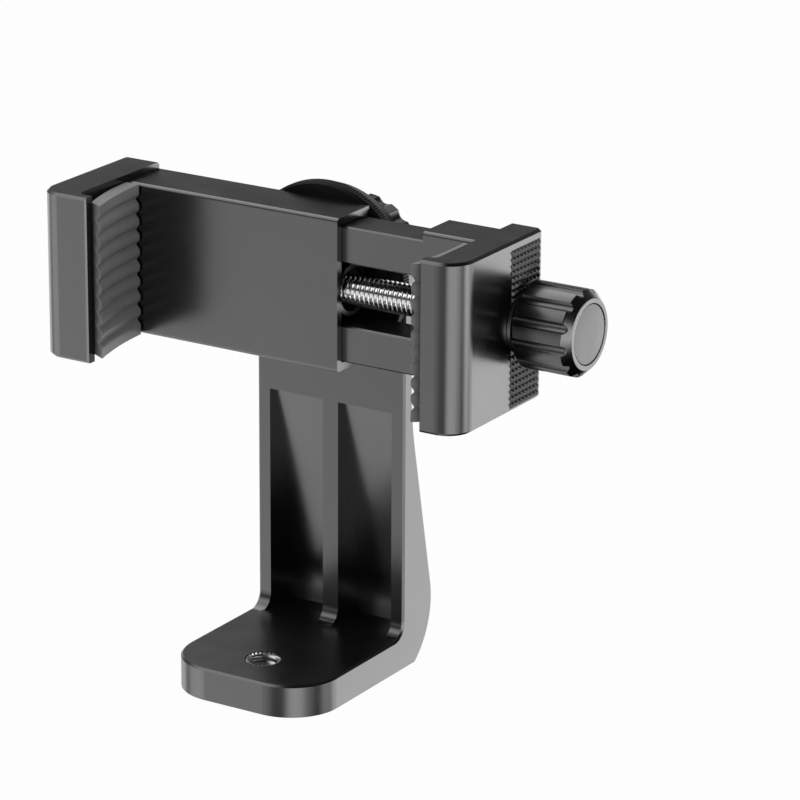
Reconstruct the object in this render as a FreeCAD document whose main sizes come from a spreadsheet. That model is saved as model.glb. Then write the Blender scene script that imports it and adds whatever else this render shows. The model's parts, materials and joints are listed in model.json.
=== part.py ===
"""Phone mount: a screw clamp on a turntable, carried by an L bracket with a tripod thread.

Millimetres. The origin is the mouth of the tripod thread in the underside of the foot.
X runs along the clamp from the fixed jaw to the knob, Y from the phone side to the rear, Z up.
"""
import FreeCAD, Part
import math
import operator
import os

import Sketcher
from FreeCAD import Placement, Rotation, Vector

doc = FreeCAD.newDocument("phone_mount")
sheet = doc.addObject("Spreadsheet::Sheet", "Sizes")


# Sizes that live in the spreadsheet

class Size:
    """A number together with the spreadsheet formula that gives it."""

    def __init__(self, value, formula):
        self.value = value
        self.formula = formula

    def __add__(self, other):
        return joined(operator.add, "+", self, other)

    def __radd__(self, other):
        return joined(operator.add, "+", other, self)

    def __sub__(self, other):
        return joined(operator.sub, "-", self, other)

    def __rsub__(self, other):
        return joined(operator.sub, "-", other, self)

    def __mul__(self, other):
        return joined(operator.mul, "*", self, other)

    def __rmul__(self, other):
        return joined(operator.mul, "*", other, self)

    def __truediv__(self, other):
        return joined(operator.truediv, "/", self, other)

    def __neg__(self):
        return joined(operator.mul, "*", -1, self)


def as_size(number):
    return number if isinstance(number, Size) else Size(number, f"({number})")


def joined(work, sign, left, right):
    left = as_size(left)
    right = as_size(right)
    return Size(work(left.value, right.value), f"({left.formula} {sign} {right.formula})")


rows = []


def size(alias, number):
    """Put a driving dimension in the next row of the sheet and give it back as a Size."""
    rows.append(alias)
    row = len(rows)
    sheet.set(f"A{row}", alias)
    sheet.set(f"B{row}", str(number))
    sheet.setAlias(f"B{row}", alias)
    return Size(number, f"Sizes.{alias}")


overcut = size("overcut", 1.0)

# Bracket
foot_width = size("foot_width", 33.0)
foot_reach = size("foot_reach", 10.4)
foot_thickness = size("foot_thickness", 6.3)
foot_corner = size("foot_corner", 10.0)
foot_edge = size("foot_edge", 0.4)
edge_break = size("edge_break", 0.3)
wall_front = size("wall_front", 23.0)
wall_thickness = size("wall_thickness", 2.5)
inner_round = size("inner_round", 3.0)
head_height = size("head_height", 76.6)
heel_depth = size("heel_depth", 9.6)
heel_height = size("heel_height", 14.6)
heel_radius = size("heel_radius", 14.7)
heel_base = size("heel_base", 4.1)
taper_height = size("taper_height", 49.3)
taper_blend = size("taper_blend", 60.0)
flange = size("flange", 2.8)
rib = size("rib", 3.4)
pocket_top = size("pocket_top", 50.8)
pocket_top_depth = size("pocket_top_depth", 1.2)
pocket_wall = size("pocket_wall", 2.0)
pocket_base = size("pocket_base", 6.8)

# Tripod insert
insert_radius = size("insert_radius", 3.6)
insert_bore = size("insert_bore", 2.55)

# Sleeve and fixed jaw
sleeve_height = size("sleeve_height", 29.4)
sleeve_depth = size("sleeve_depth", 10.8)
sleeve_wall = size("sleeve_wall", 1.5)
sleeve_length = size("sleeve_length", 47.0)
sleeve_mouth = size("sleeve_mouth", 10.2)
sleeve_end_wall = size("sleeve_end_wall", 2.3)
plinth_radius = size("plinth_radius", 10.0)
plinth_height = size("plinth_height", 0.1)
jaw_overhang = size("jaw_overhang", 1.3)
jaw_reach = size("jaw_reach", 17.5)
fixed_jaw_thickness = size("fixed_jaw_thickness", 7.7)
fixed_lip = size("fixed_lip", 3.2)
fixed_lip_thickness = size("fixed_lip_thickness", 2.1)
fixed_jaw_corner = size("fixed_jaw_corner", 4.4)
back_corner = size("back_corner", 0.9)
edge_round = size("edge_round", 0.7)
jaw_edge = size("jaw_edge", 0.5)
seat_margin = size("seat_margin", 2.2)
seat_root = size("seat_root", 0.5)

# Screw nut in the sleeve's mouth
boss_radius = size("boss_radius", 5.0)
boss_length = size("boss_length", 10.5)
nut_radius = size("nut_radius", 4.1)
nut_length = size("nut_length", 7.0)

# Clamp screw
screw_radius = size("screw_radius", 2.95)
screw_running_gap = size("screw_running_gap", 0.05)
screw_hole_gap = size("screw_hole_gap", 0.4)
screw_tip_chamfer = size("screw_tip_chamfer", 0.6)
screw_head_flats = size("screw_head_flats", 9.0)
screw_head_height = size("screw_head_height", 4.0)
screw_axis_depth = size("screw_axis_depth", 5.2)

# Arm and moving jaw
slide_gap = size("slide_gap", 0.15)
rail_reach = size("rail_reach", 27.0)
slot_height = size("slot_height", 12.0)
shoulder_gap = size("shoulder_gap", 17.3)
pad_gap = size("pad_gap", 67.3)
moving_jaw_thickness = size("moving_jaw_thickness", 6.2)
moving_lip = size("moving_lip", 1.9)
moving_lip_thickness = size("moving_lip_thickness", 2.4)
moving_jaw_corner = size("moving_jaw_corner", 5.0)
moving_jaw_back = size("moving_jaw_back", 11.8)
lip_round = size("lip_round", 1.6)

# Rubber pads
pad_thickness = size("pad_thickness", 2.9)
pad_proud = size("pad_proud", 2.6)
fixed_pad_lean = size("fixed_pad_lean", 2.6)
moving_pad_lean = size("moving_pad_lean", 1.0)
pad_jaw_gap = size("pad_jaw_gap", 0.3)
pad_inset = size("pad_inset", 0.9)
pad_back = size("pad_back", 0.4)
pad_lip_gap = size("pad_lip_gap", 0.15)
pad_bow = size("pad_bow", 60.0)
pad_seat_gap = size("pad_seat_gap", 0.05)
wave_pitch = size("wave_pitch", 2.94)
wave_depth = size("wave_depth", 0.7)
wave_rise = size("wave_rise", 0.3)

# Knob
knob_gap = size("knob_gap", 0.2)
knob_washer_thickness = size("knob_washer_thickness", 1.0)
knob_washer_radius = size("knob_washer_radius", 6.0)
knob_radius = size("knob_radius", 8.1)
knob_length = size("knob_length", 12.5)
knob_rim_bevel = size("knob_rim_bevel", 1.5)
knob_back_bevel = size("knob_back_bevel", 1.2)
flute_width = size("flute_width", 1.9)
flute_depth = size("flute_depth", 0.7)
flute_count = 12
knob_turn = size("knob_turn", 10.0)
cap_radius = size("cap_radius", 5.65)
cap_thickness = size("cap_thickness", 1.2)
cap_sunk = size("cap_sunk", 0.1)
cap_edge = size("cap_edge", 0.5)
cap_crown = size("cap_crown", 0.15)
clip_radius = size("clip_radius", 3.85)
clip_thickness = size("clip_thickness", 0.8)
clip_groove = size("clip_groove", 0.5)
clip_opening = size("clip_opening", 3.6)

# Turntable
disc_radius = size("disc_radius", 17.6)
disc_thickness = size("disc_thickness", 2.5)
disc_bevel = size("disc_bevel", 0.5)
turn_gap = size("turn_gap", 0.1)
bolt_radius = size("bolt_radius", 2.45)
bolt_head_flats = size("bolt_head_flats", 8.0)
bolt_head_height = size("bolt_head_height", 1.9)
bolt_head_gap = size("bolt_head_gap", 0.1)
bolt_head_in_disc = size("bolt_head_in_disc", 0.9)
bolt_hole_gap = size("bolt_hole_gap", 0.08)
bolt_running_gap = size("bolt_running_gap", 0.05)
bolt_pocket_radius = size("bolt_pocket_radius", 4.75)
bolt_tip_chamfer = size("bolt_tip_chamfer", 0.5)
friction_radius = size("friction_radius", 12.0)
friction_sunk = size("friction_sunk", 0.4)
disc_screw_circle = size("disc_screw_circle", 8.0)
disc_screw_radius = size("disc_screw_radius", 0.9)
disc_screw_head = size("disc_screw_head", 1.9)
disc_screw_length = size("disc_screw_length", 3.2)
disc_screw_sunk = size("disc_screw_sunk", 0.1)
disc_screw_head_height = size("disc_screw_head_height", 0.9)
disc_screw_count = 3

# Rear knob
rear_washer_radius = size("rear_washer_radius", 7.5)
rear_washer_thickness = size("rear_washer_thickness", 1.0)
spring_washer_radius = size("spring_washer_radius", 4.6)
spring_washer_thickness = size("spring_washer_thickness", 1.2)
rear_knob_radius = size("rear_knob_radius", 12.1)
rear_knob_length = size("rear_knob_length", 7.0)
rear_knob_bevel = size("rear_knob_bevel", 0.8)
rear_hub_radius = size("rear_hub_radius", 7.0)
rear_hub_length = size("rear_hub_length", 1.4)
rear_scallop_radius = size("rear_scallop_radius", 2.0)
rear_scallop_depth = size("rear_scallop_depth", 0.7)
rear_scallop_count = 16
rear_nut_flats = size("rear_nut_flats", 8.0)
rear_nut_height = size("rear_nut_height", 4.0)
rear_nut_sunk = size("rear_nut_sunk", 0.6)
doc.recompute()

# Places worked out from the driving sizes
jaw_height = sleeve_height + 2 * jaw_overhang
seat_height = sleeve_height - 2 * seat_margin
pad_front = jaw_reach - pad_inset
sleeve_front = wall_front - turn_gap - disc_thickness - plinth_height - sleeve_depth
sleeve_back = sleeve_front + sleeve_depth
disc_front = sleeve_back + plinth_height
disc_back = disc_front + disc_thickness
screw_y = sleeve_front + screw_axis_depth
cavity_front = sleeve_front + sleeve_wall
cavity_back = sleeve_back - sleeve_wall
cavity_half = sleeve_height / 2 - sleeve_wall
fixed_jaw_inner = sleeve_mouth - sleeve_length
cavity_end = fixed_jaw_inner + sleeve_end_wall
fixed_jaw_outer = fixed_jaw_inner - fixed_jaw_thickness
fixed_lip_edge = fixed_jaw_inner + fixed_lip
jaw_front = sleeve_front - jaw_reach
fixed_pad_face = fixed_lip_edge + pad_proud
moving_pad_face = fixed_pad_face + pad_gap
moving_jaw_inner = moving_pad_face + pad_thickness + moving_pad_lean + pad_jaw_gap
moving_jaw_outer = moving_jaw_inner + moving_jaw_thickness
shoulder = sleeve_mouth + shoulder_gap
rail_end = sleeve_mouth - rail_reach
boss_inner_end = sleeve_mouth - boss_length
knob_start = moving_jaw_outer + knob_washer_thickness + knob_gap
wall_back = wall_front + wall_thickness
disc_screw_top = disc_back - friction_sunk - disc_screw_sunk
rear_washer_start = wall_back + turn_gap
spring_washer_start = rear_washer_start + rear_washer_thickness
rear_knob_start = spring_washer_start + spring_washer_thickness
rear_nut_start = rear_knob_start + rear_hub_length + rear_knob_length - rear_nut_sunk - rear_nut_height
rear_bore = bolt_radius + bolt_running_gap


# Building blocks

def bind(thing, prop, amount):
    thing.setExpression(prop, as_size(amount).formula)


def new_body(label, x=0, y=0, z=0, turn=0):
    """An empty body whose own origin stands at x, y, z, turned about the X axis by turn degrees."""
    body = doc.addObject("PartDesign::Body", label)
    body.Label = label
    spot = Vector(*(as_size(c).value for c in (x, y, z)))
    body.Placement = Placement(spot, Rotation(Vector(1, 0, 0), as_size(turn).value))
    for name, place in (("x", x), ("y", y), ("z", z)):
        bind(body, f"Placement.Base.{name}", place)
    if isinstance(turn, Size):
        bind(body, "Placement.Rotation.Angle", turn)
    return body


def sketch_on(body, role, offset=0):
    sketch = body.newObject("Sketcher::SketchObject", f"{body.Label}_sketch")
    plane = next(f for f in body.Origin.OriginFeatures if f.Role == role)
    sketch.AttachmentSupport = (plane, [""])
    sketch.MapMode = "FlatFace"
    bind(sketch, "AttachmentOffset.Base.z", offset)
    return sketch


def fix_point(sketch, line, end, x, y):
    """Hold one point of a sketch at x, y from its origin."""
    for kind, place in (("DistanceX", x), ("DistanceY", y)):
        number = sketch.addConstraint(Sketcher.Constraint(kind, line, end, as_size(place).value))
        bind(sketch, f"Constraints[{number}]", place)


def draw_outline(sketch, points):
    """A closed outline. A point (x, y, radius) starts an arc, which turns left for a plus radius."""
    spots = [Vector(as_size(p[0]).value, as_size(p[1]).value, 0) for p in points]
    for number, point in enumerate(points):
        start = spots[number]
        end = spots[(number + 1) % len(points)]
        if len(point) == 3:
            radius = as_size(point[2])
            side = 1 if radius.value > 0 else -1
            chord = end - start
            rise = math.sqrt(radius.value ** 2 - (chord.Length / 2) ** 2)
            across = Vector(-chord.y, chord.x, 0).normalize()
            centre = (start + end) / 2 + across * rise * side
            middle = centre - across * abs(radius.value) * side
            edge = sketch.addGeometry(Part.Arc(start, middle, end))
            first, last = (2, 1) if side < 0 else (1, 2)
            fix_point(sketch, edge, first, point[0], point[1])
            following = points[(number + 1) % len(points)]
            fix_point(sketch, edge, last, following[0], following[1])
            limit = sketch.addConstraint(Sketcher.Constraint("Radius", edge, abs(radius.value)))
            bind(sketch, f"Constraints[{limit}]", radius * side)
        else:
            edge = sketch.addGeometry(Part.LineSegment(start, end))
            following = points[(number + 1) % len(points)]
            fix_point(sketch, edge, 1, point[0], point[1])
            fix_point(sketch, edge, 2, following[0], following[1])


def draw_box(sketch, left, low, right, high):
    draw_outline(sketch, [(left, low), (right, low), (right, high), (left, high)])


def draw_circle(sketch, x, y, radius):
    spot = Vector(as_size(x).value, as_size(y).value, 0)
    edge = sketch.addGeometry(Part.Circle(spot, Vector(0, 0, 1), as_size(radius).value))
    fix_point(sketch, edge, 3, x, y)
    number = sketch.addConstraint(Sketcher.Constraint("Radius", edge, as_size(radius).value))
    bind(sketch, f"Constraints[{number}]", radius)


def draw_hexagon(sketch, x, y, flats):
    corner = flats / math.sqrt(3)
    turns = [math.radians(60 * step) for step in range(6)]
    draw_outline(sketch, [(x + corner * math.cos(a), y + corner * math.sin(a)) for a in turns])


PLANES = {"X": ("YZ_Plane", 1), "Y": ("XZ_Plane", -1), "Z": ("XY_Plane", 1)}


def prism(body, axis, start, end, draw, cut=False):
    """Add or cut the drawn outline from start to end along an axis of the body."""
    role, sign = PLANES[axis]
    sketch = sketch_on(body, role, start * sign)
    draw(sketch)
    feature = body.newObject("PartDesign::" + ("Pocket" if cut else "Pad"), f"{body.Label}_step")
    feature.Profile = sketch
    bind(feature, "Length", end - start)
    feature.Reversed = (sign < 0) != cut
    return feature


def turned(body, points, axis):
    """Turn a closed outline about the body's X axis (H_Axis) or its Y or Z axis (V_Axis)."""
    sketch = sketch_on(body, "XZ_Plane" if axis == "Z" else "XY_Plane")
    draw_outline(sketch, points)
    feature = body.newObject("PartDesign::Revolution", f"{body.Label}_turned")
    feature.Profile = sketch
    feature.ReferenceAxis = (sketch, ["H_Axis" if axis == "X" else "V_Axis"])
    feature.Angle = 360
    return feature


def edges_where(feature, test):
    doc.recompute()
    return [f"Edge{n}" for n, edge in enumerate(feature.Shape.Edges, 1) if test(edge)]


def rounded(body, test, radius):
    """Round the edges of the body so far that pass the test."""
    base = body.Tip
    names = edges_where(base, test)
    feature = body.newObject("PartDesign::Fillet", f"{body.Label}_round")
    feature.Base = (base, names)
    bind(feature, "Radius", radius)
    body.Tip = feature
    return feature


SAME_PLACE = 0.02
CLEAR_OF = 0.5
STRAIGHT = 0.999


def bevelled(body, test, amount):
    """Cut a small flat on the edges of the body so far that pass the test."""
    base = body.Tip
    names = edges_where(base, test)
    feature = body.newObject("PartDesign::Chamfer", f"{body.Label}_bevel")
    feature.Base = (base, names)
    bind(feature, "Size", amount)
    body.Tip = feature
    return feature


def near(number, place):
    return abs(number - as_size(place).value) < SAME_PLACE


def along(edge, axis):
    """True for a straight edge that runs along the axis."""
    if not isinstance(edge.Curve, Part.Line):
        return False
    run = edge.Vertexes[-1].Point - edge.Vertexes[0].Point
    return abs(getattr(run, axis)) > STRAIGHT * run.Length


def middle_of(edge):
    return edge.valueAt((edge.FirstParameter + edge.LastParameter) / 2)


def repeated(body, feature, axis, count):
    """Copy a feature round the body's own axis."""
    pattern = body.newObject("PartDesign::PolarPattern", f"{body.Label}_pattern")
    pattern.Originals = [feature]
    line = next(f for f in body.Origin.OriginFeatures if f.Role == f"{axis}_Axis")
    pattern.Axis = (line, [""])
    pattern.Angle = 360
    pattern.Occurrences = count
    body.Tip = pattern
    return pattern


# Bracket

def make_bracket():
    body = new_body("bracket")
    half = foot_width / 2
    front = -foot_reach
    heel_y = wall_front + heel_depth
    base_y = wall_front + heel_base

    def side(sketch):
        draw_outline(sketch, [
            (front, 0),
            (base_y, 0, heel_radius),
            (heel_y, heel_height),
            (wall_back, taper_height),
            (wall_back, head_height),
            (wall_front, head_height),
            (wall_front, foot_thickness + inner_round, -inner_round),
            (wall_front - inner_round, foot_thickness),
            (front, foot_thickness),
        ])

    prism(body, "X", -half, half, side)
    prism(body, "Y", wall_front, wall_back, lambda s: draw_circle(s, 0, head_height, half))
    rounded(body, lambda e: along(e, "z") and near(middle_of(e).y, front), foot_corner)
    rounded(body, lambda e: along(e, "x") and near(middle_of(e).z, taper_height), taper_blend)

    floor_radius = heel_radius - pocket_wall
    for low, high in ((-half + flange, -rib / 2), (rib / 2, half - flange)):
        def hollow(sketch):
            draw_outline(sketch, [
                (wall_front - inner_round - overcut, foot_thickness),
                (wall_front + pocket_base, foot_thickness, floor_radius),
                (heel_y - pocket_wall, heel_height),
                (wall_front + pocket_top_depth, pocket_top),
                (wall_front - inner_round - overcut, pocket_top),
            ])
        prism(body, "X", low, high, hollow, cut=True)

    prism(body, "Z", -overcut, foot_thickness + overcut,
          lambda s: draw_circle(s, 0, 0, insert_radius), cut=True)
    prism(body, "Y", wall_front - overcut, wall_back + overcut,
          lambda s: draw_circle(s, 0, head_height, bolt_radius + bolt_hole_gap), cut=True)

    def foot_rim(edge):
        spot = middle_of(edge)
        return near(spot.z, foot_thickness) and spot.y < wall_front.value - inner_round.value - CLEAR_OF \
            and spot.Length > insert_radius.value + foot_thickness.value

    bevelled(body, foot_rim, foot_edge)
    return body


def make_tripod_insert():
    body = new_body("tripod_insert")
    top = foot_thickness
    turned(body, [(insert_bore, 0), (insert_radius, 0), (insert_radius, top), (insert_bore, top)], "Z")
    return body


# Sleeve and fixed jaw

def jaw_section(inner, outer, lip, lip_thickness, back, round_size):
    """Top view of a jaw, from its lip round the outside to its back. Works for either hand."""
    hand = 1 if outer.value > inner.value else -1
    tip = inner - hand * lip
    lip_back = jaw_front + lip_thickness
    return [
        (tip, jaw_front),
        (outer, jaw_front),
        (outer, back),
        (inner, back),
        (inner, lip_back + round_size, -round_size * hand),
        (inner - hand * round_size, lip_back),
        (tip, lip_back),
    ]


def add_pad_seat(body, jaw_inner, face, lean, hand):
    """A raised seat on a jaw, bowed like the back of its pad. hand is 1 for the fixed jaw."""
    root_x = jaw_inner - seat_root * hand
    seat_x = face - (pad_thickness + pad_seat_gap) * hand
    front = sleeve_front - pad_front
    back = sleeve_front - pad_back
    outline = [
        (root_x, front),
        (seat_x, front, -pad_bow * hand),
        (seat_x - lean * hand, back),
        (root_x, back),
    ]
    prism(body, "Z", -seat_height / 2, seat_height / 2, lambda s: draw_outline(s, outline))


def make_clamp_body():
    body = new_body("clamp_body", z=head_height)
    half = sleeve_height / 2
    jaw_half = jaw_height / 2

    prism(body, "X", fixed_jaw_inner - overcut, sleeve_mouth,
          lambda s: draw_box(s, sleeve_front, -half, sleeve_back, half))
    section = jaw_section(fixed_jaw_inner, fixed_jaw_outer, fixed_lip, fixed_lip_thickness,
                          sleeve_back, lip_round)
    prism(body, "Z", -jaw_half, jaw_half, lambda s: draw_outline(s, section))
    prism(body, "Y", sleeve_back - overcut, disc_front, lambda s: draw_circle(s, 0, 0, plinth_radius))

    rounded(body, lambda e: along(e, "z") and near(middle_of(e).x, fixed_jaw_outer)
            and near(middle_of(e).y, jaw_front), fixed_jaw_corner)
    rounded(body, lambda e: along(e, "z") and near(middle_of(e).x, fixed_jaw_outer)
            and near(middle_of(e).y, sleeve_back), back_corner)

    def outer_rim(edge):
        spot = middle_of(edge)
        ends = near(abs(spot.z), jaw_half)
        return ends and (spot.x < fixed_jaw_inner.value - CLEAR_OF or near(spot.y, jaw_front)) \
            and not near(spot.y, sleeve_back)

    bevelled(body, outer_rim, jaw_edge)
    rounded(body, lambda e: along(e, "x") and near(middle_of(e).y, sleeve_front)
            and near(abs(middle_of(e).z), half), edge_round)
    bevelled(body, lambda e: along(e, "z") and near(middle_of(e).x, fixed_lip_edge)
             and near(middle_of(e).y, jaw_front), edge_break)

    prism(body, "X", cavity_end, sleeve_mouth + overcut,
          lambda s: draw_box(s, cavity_front, -cavity_half, cavity_back, cavity_half), cut=True)
    prism(body, "X", boss_inner_end, sleeve_mouth,
          lambda s: draw_circle(s, screw_y, 0, boss_radius))
    prism(body, "X", boss_inner_end - overcut, sleeve_mouth + overcut,
          lambda s: draw_circle(s, screw_y, 0, nut_radius), cut=True)

    add_pad_seat(body, fixed_jaw_inner, fixed_pad_face, fixed_pad_lean, 1)

    prism(body, "Y", disc_front - (bolt_head_height - bolt_head_in_disc) - bolt_head_gap,
          disc_front + overcut, lambda s: draw_circle(s, 0, 0, bolt_pocket_radius), cut=True)
    hole = prism(body, "Y", disc_screw_top - disc_screw_length, disc_front + overcut,
                 lambda s: draw_circle(s, disc_screw_circle, 0, disc_screw_radius), cut=True)
    repeated(body, hole, "Y", disc_screw_count)
    return body


def make_nut_insert():
    body = new_body("nut_insert", boss_inner_end, screw_y, head_height)
    inner = screw_radius + screw_running_gap
    turned(body, [(0, inner), (nut_length, inner), (nut_length, nut_radius), (0, nut_radius)], "X")
    return body


# Rubber pads

def make_pad(label, face, lean, lip_edge, lip_thickness, hand):
    """A wavy pad: one band of waves swept along a gentle bow. hand is 1 for the fixed jaw."""
    height = sleeve_height
    body = new_body(label, face, sleeve_front, head_height)
    front = -pad_front
    back = -pad_back
    half = height / 2
    waves = int(round(height.value / wave_pitch.value))
    pitch = height / waves

    path = sketch_on(body, "XY_Plane")
    draw_arc(path, (0, front), (-hand * lean, back), pad_bow, hand)

    band = sketch_on(body, "XZ_Plane", pad_front)
    depth = wave_depth * hand
    outline = [(-hand * pad_thickness, -half), (-depth, -half)]
    for step in range(waves):
        base = -half + pitch * step
        outline.append((0, base + pitch * wave_rise))
        outline.append((0, base + pitch * (1 - wave_rise)))
        if step < waves - 1:
            outline.append((-depth, base + pitch))
    outline.append((-depth, half))
    outline.append((-hand * pad_thickness, half))
    if hand < 0:
        outline.reverse()
    draw_outline(band, outline)
    swept = body.newObject("PartDesign::AdditivePipe", f"{label}_swept")
    swept.Profile = band
    swept.Spine = path
    swept.Mode = "Fixed"

    body.Tip = swept
    lip_back = lip_thickness - jaw_reach + pad_lip_gap
    slant = (lip_back - front) * pad_thickness / ((face - lip_edge) * hand)
    back_x = -hand * pad_thickness
    corner = [
        (0, front), (back_x, front + slant), (back_x * 2, front + slant),
        (back_x * 2, front - overcut), (0, front - overcut),
    ]
    prism(body, "Z", -half - overcut, half + overcut, lambda s: draw_outline(s, corner), cut=True)
    return body


def draw_arc(sketch, start, end, radius, hand):
    """One open arc between two points, bowed towards the jaw."""
    first = Vector(as_size(start[0]).value, as_size(start[1]).value, 0)
    last = Vector(as_size(end[0]).value, as_size(end[1]).value, 0)
    chord = last - first
    rise = radius.value - math.sqrt(radius.value ** 2 - (chord.Length / 2) ** 2)
    across = Vector(-chord.y, chord.x, 0).normalize() * hand
    middle = (first + last) / 2 + across * rise
    edge = sketch.addGeometry(Part.Arc(first, middle, last))
    low, high = (2, 1) if hand > 0 else (1, 2)
    fix_point(sketch, edge, low, *start)
    fix_point(sketch, edge, high, *end)
    number = sketch.addConstraint(Sketcher.Constraint("Radius", edge, radius.value))
    bind(sketch, f"Constraints[{number}]", radius)


# Arm and moving jaw

def make_arm():
    body = new_body("arm", z=head_height)
    half = cavity_half - slide_gap
    front = cavity_front + slide_gap
    back = cavity_back - slide_gap
    jaw_half = jaw_height / 2
    shoulder_half = sleeve_height / 2

    prism(body, "X", rail_end, moving_jaw_inner + overcut, lambda s: draw_box(s, front, -half, back, half))
    prism(body, "X", shoulder, moving_jaw_inner + overcut,
          lambda s: draw_box(s, front, -shoulder_half, sleeve_back, shoulder_half))
    rounded(body, lambda e: along(e, "x") and near(middle_of(e).y, front)
            and near(abs(middle_of(e).z), shoulder_half), edge_round)
    section = jaw_section(moving_jaw_inner, moving_jaw_outer, moving_lip, moving_lip_thickness,
                          sleeve_front + moving_jaw_back, lip_round)
    prism(body, "Z", -jaw_half, jaw_half, lambda s: draw_outline(s, section))
    rounded(body, lambda e: along(e, "z") and near(middle_of(e).x, moving_jaw_outer)
            and near(middle_of(e).y, jaw_front), moving_jaw_corner)
    rounded(body, lambda e: along(e, "z") and near(middle_of(e).x, moving_jaw_outer)
            and near(middle_of(e).y, sleeve_front + moving_jaw_back), back_corner)

    def outer_rim(edge):
        spot = middle_of(edge)
        ends = near(abs(spot.z), jaw_half)
        return ends and (spot.x > moving_jaw_inner.value + CLEAR_OF or near(spot.y, jaw_front)) \
            and not near(spot.y, sleeve_front + moving_jaw_back)

    bevelled(body, outer_rim, jaw_edge)
    bevelled(body, lambda e: along(e, "z") and near(middle_of(e).x, moving_jaw_inner - moving_lip)
             and near(middle_of(e).y, jaw_front), edge_break)
    prism(body, "X", rail_end - overcut, shoulder,
          lambda s: draw_box(s, front - overcut, -slot_height / 2, back + overcut, slot_height / 2), cut=True)

    def rail_edge(edge):
        return along(edge, "x") and near(middle_of(edge).y, front) \
            and middle_of(edge).x < shoulder.value - CLEAR_OF

    bevelled(body, rail_edge, edge_break)
    add_pad_seat(body, moving_jaw_inner, moving_pad_face, moving_pad_lean, -1)
    prism(body, "X", shoulder - overcut, moving_jaw_outer + overcut,
          lambda s: draw_circle(s, screw_y, 0, screw_radius + screw_hole_gap), cut=True)
    return body


# Clamp screw and its knob

def make_clamp_screw():
    body = new_body("clamp_screw", rail_end, screw_y, head_height, knob_turn)
    radius = screw_radius
    head_end = knob_start - rail_end + knob_length - cap_thickness - cap_sunk
    head_start = head_end - screw_head_height
    clip_at = shoulder - clip_thickness - knob_gap / 2 - rail_end
    turned(body, [
        (0, 0), (head_end, 0), (head_end, radius),
        (clip_at + clip_thickness, radius), (clip_at + clip_thickness, radius - clip_groove),
        (clip_at, radius - clip_groove), (clip_at, radius),
        (screw_tip_chamfer, radius), (0, radius - screw_tip_chamfer),
    ], "X")
    prism(body, "X", head_start, head_end, lambda s: draw_hexagon(s, 0, 0, screw_head_flats))
    return body


def make_retaining_clip():
    """A spring clip with an open side, in the groove of the clamp screw."""
    body = new_body("retaining_clip", shoulder - clip_thickness - knob_gap / 2, screw_y, head_height)
    inner = screw_radius - clip_groove
    prism(body, "X", 0, clip_thickness, lambda s: draw_circle(s, 0, 0, clip_radius))
    prism(body, "X", -overcut, clip_thickness + overcut, lambda s: draw_circle(s, 0, 0, inner), cut=True)
    prism(body, "X", -overcut, clip_thickness + overcut,
          lambda s: draw_box(s, -clip_opening / 2, 0, clip_opening / 2, clip_radius + overcut), cut=True)
    return body


def make_knob_washer():
    body = new_body("knob_washer", moving_jaw_outer + knob_gap / 2, screw_y, head_height)
    inner = screw_radius
    thick = knob_washer_thickness
    turned(body, [(0, inner), (thick, inner), (thick, knob_washer_radius), (0, knob_washer_radius)], "X")
    return body


def make_clamp_knob():
    body = new_body("clamp_knob", knob_start, screw_y, head_height, knob_turn)
    cap_floor = knob_length - cap_thickness - cap_sunk
    turned(body, [
        (0, screw_radius), (0, knob_radius - knob_back_bevel), (knob_back_bevel, knob_radius),
        (knob_length - knob_rim_bevel, knob_radius), (knob_length, knob_radius - knob_rim_bevel),
        (knob_length, cap_radius),
        (cap_floor, cap_radius), (cap_floor, screw_radius),
    ], "X")
    prism(body, "X", cap_floor - screw_head_height, cap_floor + cap_sunk,
          lambda s: draw_hexagon(s, 0, 0, screw_head_flats), cut=True)
    half = flute_width / 2
    flute = prism(body, "Z", knob_radius - flute_depth, knob_radius + overcut,
                  lambda s: draw_box(s, -overcut, -half, knob_length + overcut, half), cut=True)
    repeated(body, flute, "X", flute_count)
    return body


def make_knob_cap():
    body = new_body("knob_cap", knob_start + knob_length - cap_thickness - cap_sunk, screw_y, head_height)
    turned(body, [
        (0, 0), (cap_thickness, 0), (cap_thickness, cap_radius - cap_edge),
        (cap_thickness - cap_crown, cap_radius), (0, cap_radius),
    ], "X")
    return body


# Turntable

def make_turntable_disc():
    body = new_body("turntable_disc", 0, disc_front, head_height)
    rim = disc_radius
    thick = disc_thickness
    turned(body, [
        (0, 0), (rim - disc_bevel, 0), (rim, disc_bevel), (rim, thick), (friction_radius, thick),
        (friction_radius, thick - friction_sunk), (0, thick - friction_sunk),
    ], "Y")
    prism(body, "Y", -overcut, bolt_head_in_disc, lambda s: draw_hexagon(s, 0, 0, bolt_head_flats), cut=True)
    prism(body, "Y", 0, thick + overcut, lambda s: draw_circle(s, 0, 0, bolt_radius), cut=True)
    countersunk(body, disc_screw_top - disc_front, cut=True)
    return body


def countersunk(body, top, cut=False):
    """The disc screws, or their holes: tapered heads from top downwards, with plain shanks."""
    tip = top - disc_screw_length
    under = top - disc_screw_head_height
    near_side = disc_screw_circle
    edge = near_side + disc_screw_head
    side = near_side + disc_screw_radius
    sketch = sketch_on(body, "XY_Plane")
    draw_outline(sketch, [(near_side, tip), (side, tip), (side, under), (edge, top), (near_side, top)])
    kind = "Groove" if cut else "Revolution"
    feature = body.newObject(f"PartDesign::{kind}", f"{body.Label}_screw")
    feature.Profile = sketch
    foot = Vector(near_side.value, 0, 0)
    axis = sketch.addGeometry(Part.LineSegment(foot, foot + Vector(0, overcut.value, 0)), True)
    fix_point(sketch, axis, 1, near_side, 0)
    fix_point(sketch, axis, 2, near_side, overcut)
    feature.ReferenceAxis = (sketch, ["Axis0"])
    feature.Angle = 360
    repeated(body, feature, "Y", disc_screw_count)
    return feature


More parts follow.
